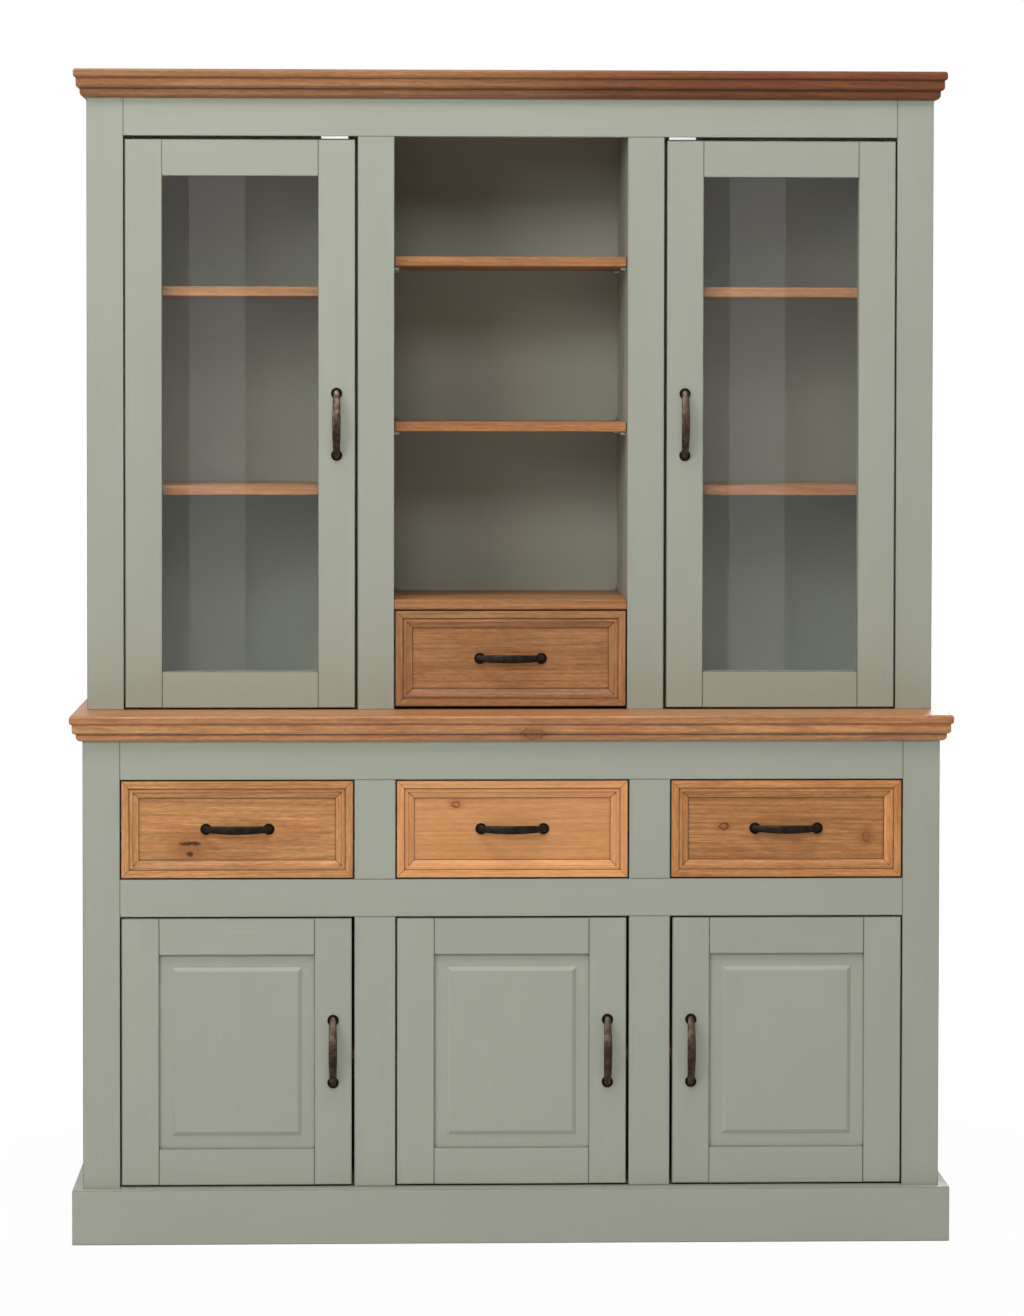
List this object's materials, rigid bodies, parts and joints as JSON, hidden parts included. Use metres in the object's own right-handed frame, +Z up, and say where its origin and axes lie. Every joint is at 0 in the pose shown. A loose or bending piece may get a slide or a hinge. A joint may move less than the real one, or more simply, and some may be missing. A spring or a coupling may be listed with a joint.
{
  "type": "buffet cabinet",
  "caption": "Two-piece pine country buffet: painted base with doors and drawers under a hutch with glazed doors, an open niche and a drawer.",
  "frame": {"origin": "floor level, under the middle of the whole box", "axes": "+Z up, front towards -Y, +X to the right seen from the front"},
  "size_m": [1.55, 0.457, 2.0655],
  "materials": {
    "sage_paint": "satin sage-green paint",
    "pine": "waxed honey pine",
    "plain_wood": "bare planed pine",
    "glass": "clear float glass",
    "bronze": "dark antique bronze, lightly hammered",
    "white_plastic": "moulded",
    "steel": "zinc plated"
  },
  "bodies": {
    "carcass": {"plinth": "sage_paint", "base_side_left": "sage_paint", "base_side_right": "sage_paint", "base_floor": "sage_paint", "base_back": "sage_paint", "base_partition_left": "sage_paint", "base_partition_right": "sage_paint", "base_face_frame": "sage_paint", "base_shelves": "pine", "drawer_runners": "plain_wood", "worktop_board": "pine", "worktop_moulding": "pine", "cornice_board": "pine", "cornice_moulding": "pine", "hutch_side_left": "sage_paint", "hutch_side_right": "sage_paint", "hutch_partition_left": "sage_paint", "hutch_partition_right": "sage_paint", "hutch_back": "sage_paint", "hutch_floor": "sage_paint", "hutch_face_frame": "sage_paint", "niche_floor": "pine", "hutch_shelves": "pine", "shelf_pins": "white_plastic", "magnet_catches": "white_plastic", "pivot_sockets": "steel"},
    "left_base_door": {"left_base_door_frame": "sage_paint", "left_base_door_handle": "bronze", "left_base_door_fittings": "steel", "left_base_door_panel": "sage_paint"},
    "middle_base_door": {"middle_base_door_frame": "sage_paint", "middle_base_door_handle": "bronze", "middle_base_door_fittings": "steel", "middle_base_door_panel": "sage_paint"},
    "right_base_door": {"right_base_door_frame": "sage_paint", "right_base_door_handle": "bronze", "right_base_door_fittings": "steel", "right_base_door_panel": "sage_paint"},
    "left_glass_door": {"left_glass_door_frame": "sage_paint", "left_glass_door_handle": "bronze", "left_glass_door_fittings": "steel", "left_glass_door_glass": "glass", "left_glass_door_beads": "sage_paint"},
    "right_glass_door": {"right_glass_door_frame": "sage_paint", "right_glass_door_handle": "bronze", "right_glass_door_fittings": "steel", "right_glass_door_glass": "glass", "right_glass_door_beads": "sage_paint"},
    "left_drawer": {"left_drawer_front": "pine", "left_drawer_box": "plain_wood", "left_drawer_handle": "bronze"},
    "middle_drawer": {"middle_drawer_front": "pine", "middle_drawer_box": "plain_wood", "middle_drawer_handle": "bronze"},
    "right_drawer": {"right_drawer_front": "pine", "right_drawer_box": "plain_wood", "right_drawer_handle": "bronze"},
    "hutch_drawer": {"hutch_drawer_front": "pine", "hutch_drawer_box": "plain_wood", "hutch_drawer_handle": "bronze"}
  },
  "joints": [
    {"name": "left_base_door_hinge", "type": "hinge", "parent": "carcass", "child": "left_base_door", "pos_m": [-0.6695, -0.1935, 0.1015], "axis": [0, 0, -1], "range_deg": [0, 110]},
    {"name": "middle_base_door_hinge", "type": "hinge", "parent": "carcass", "child": "middle_base_door", "pos_m": [-0.18683, -0.1935, 0.1015], "axis": [0, 0, -1], "range_deg": [0, 110]},
    {"name": "right_base_door_hinge", "type": "hinge", "parent": "carcass", "child": "right_base_door", "pos_m": [0.6695, -0.1935, 0.1015], "axis": [0, 0, 1], "range_deg": [0, 110]},
    {"name": "left_glass_door_hinge", "type": "hinge", "parent": "carcass", "child": "left_glass_door", "pos_m": [-0.6695, -0.0785, 0.9325], "axis": [0, 0, -1], "range_deg": [0, 110]},
    {"name": "right_glass_door_hinge", "type": "hinge", "parent": "carcass", "child": "right_glass_door", "pos_m": [0.6695, -0.0785, 0.9325], "axis": [0, 0, 1], "range_deg": [0, 110]},
    {"name": "left_drawer_slide", "type": "slide", "parent": "carcass", "child": "left_drawer", "axis": [0, -1, 0], "range_m": [0, 0.3]},
    {"name": "middle_drawer_slide", "type": "slide", "parent": "carcass", "child": "middle_drawer", "axis": [0, -1, 0], "range_m": [0, 0.3]},
    {"name": "right_drawer_slide", "type": "slide", "parent": "carcass", "child": "right_drawer", "axis": [0, -1, 0], "range_m": [0, 0.3]},
    {"name": "hutch_drawer_slide", "type": "slide", "parent": "carcass", "child": "hutch_drawer", "axis": [0, -1, 0], "range_m": [0, 0.2]}
  ]
}
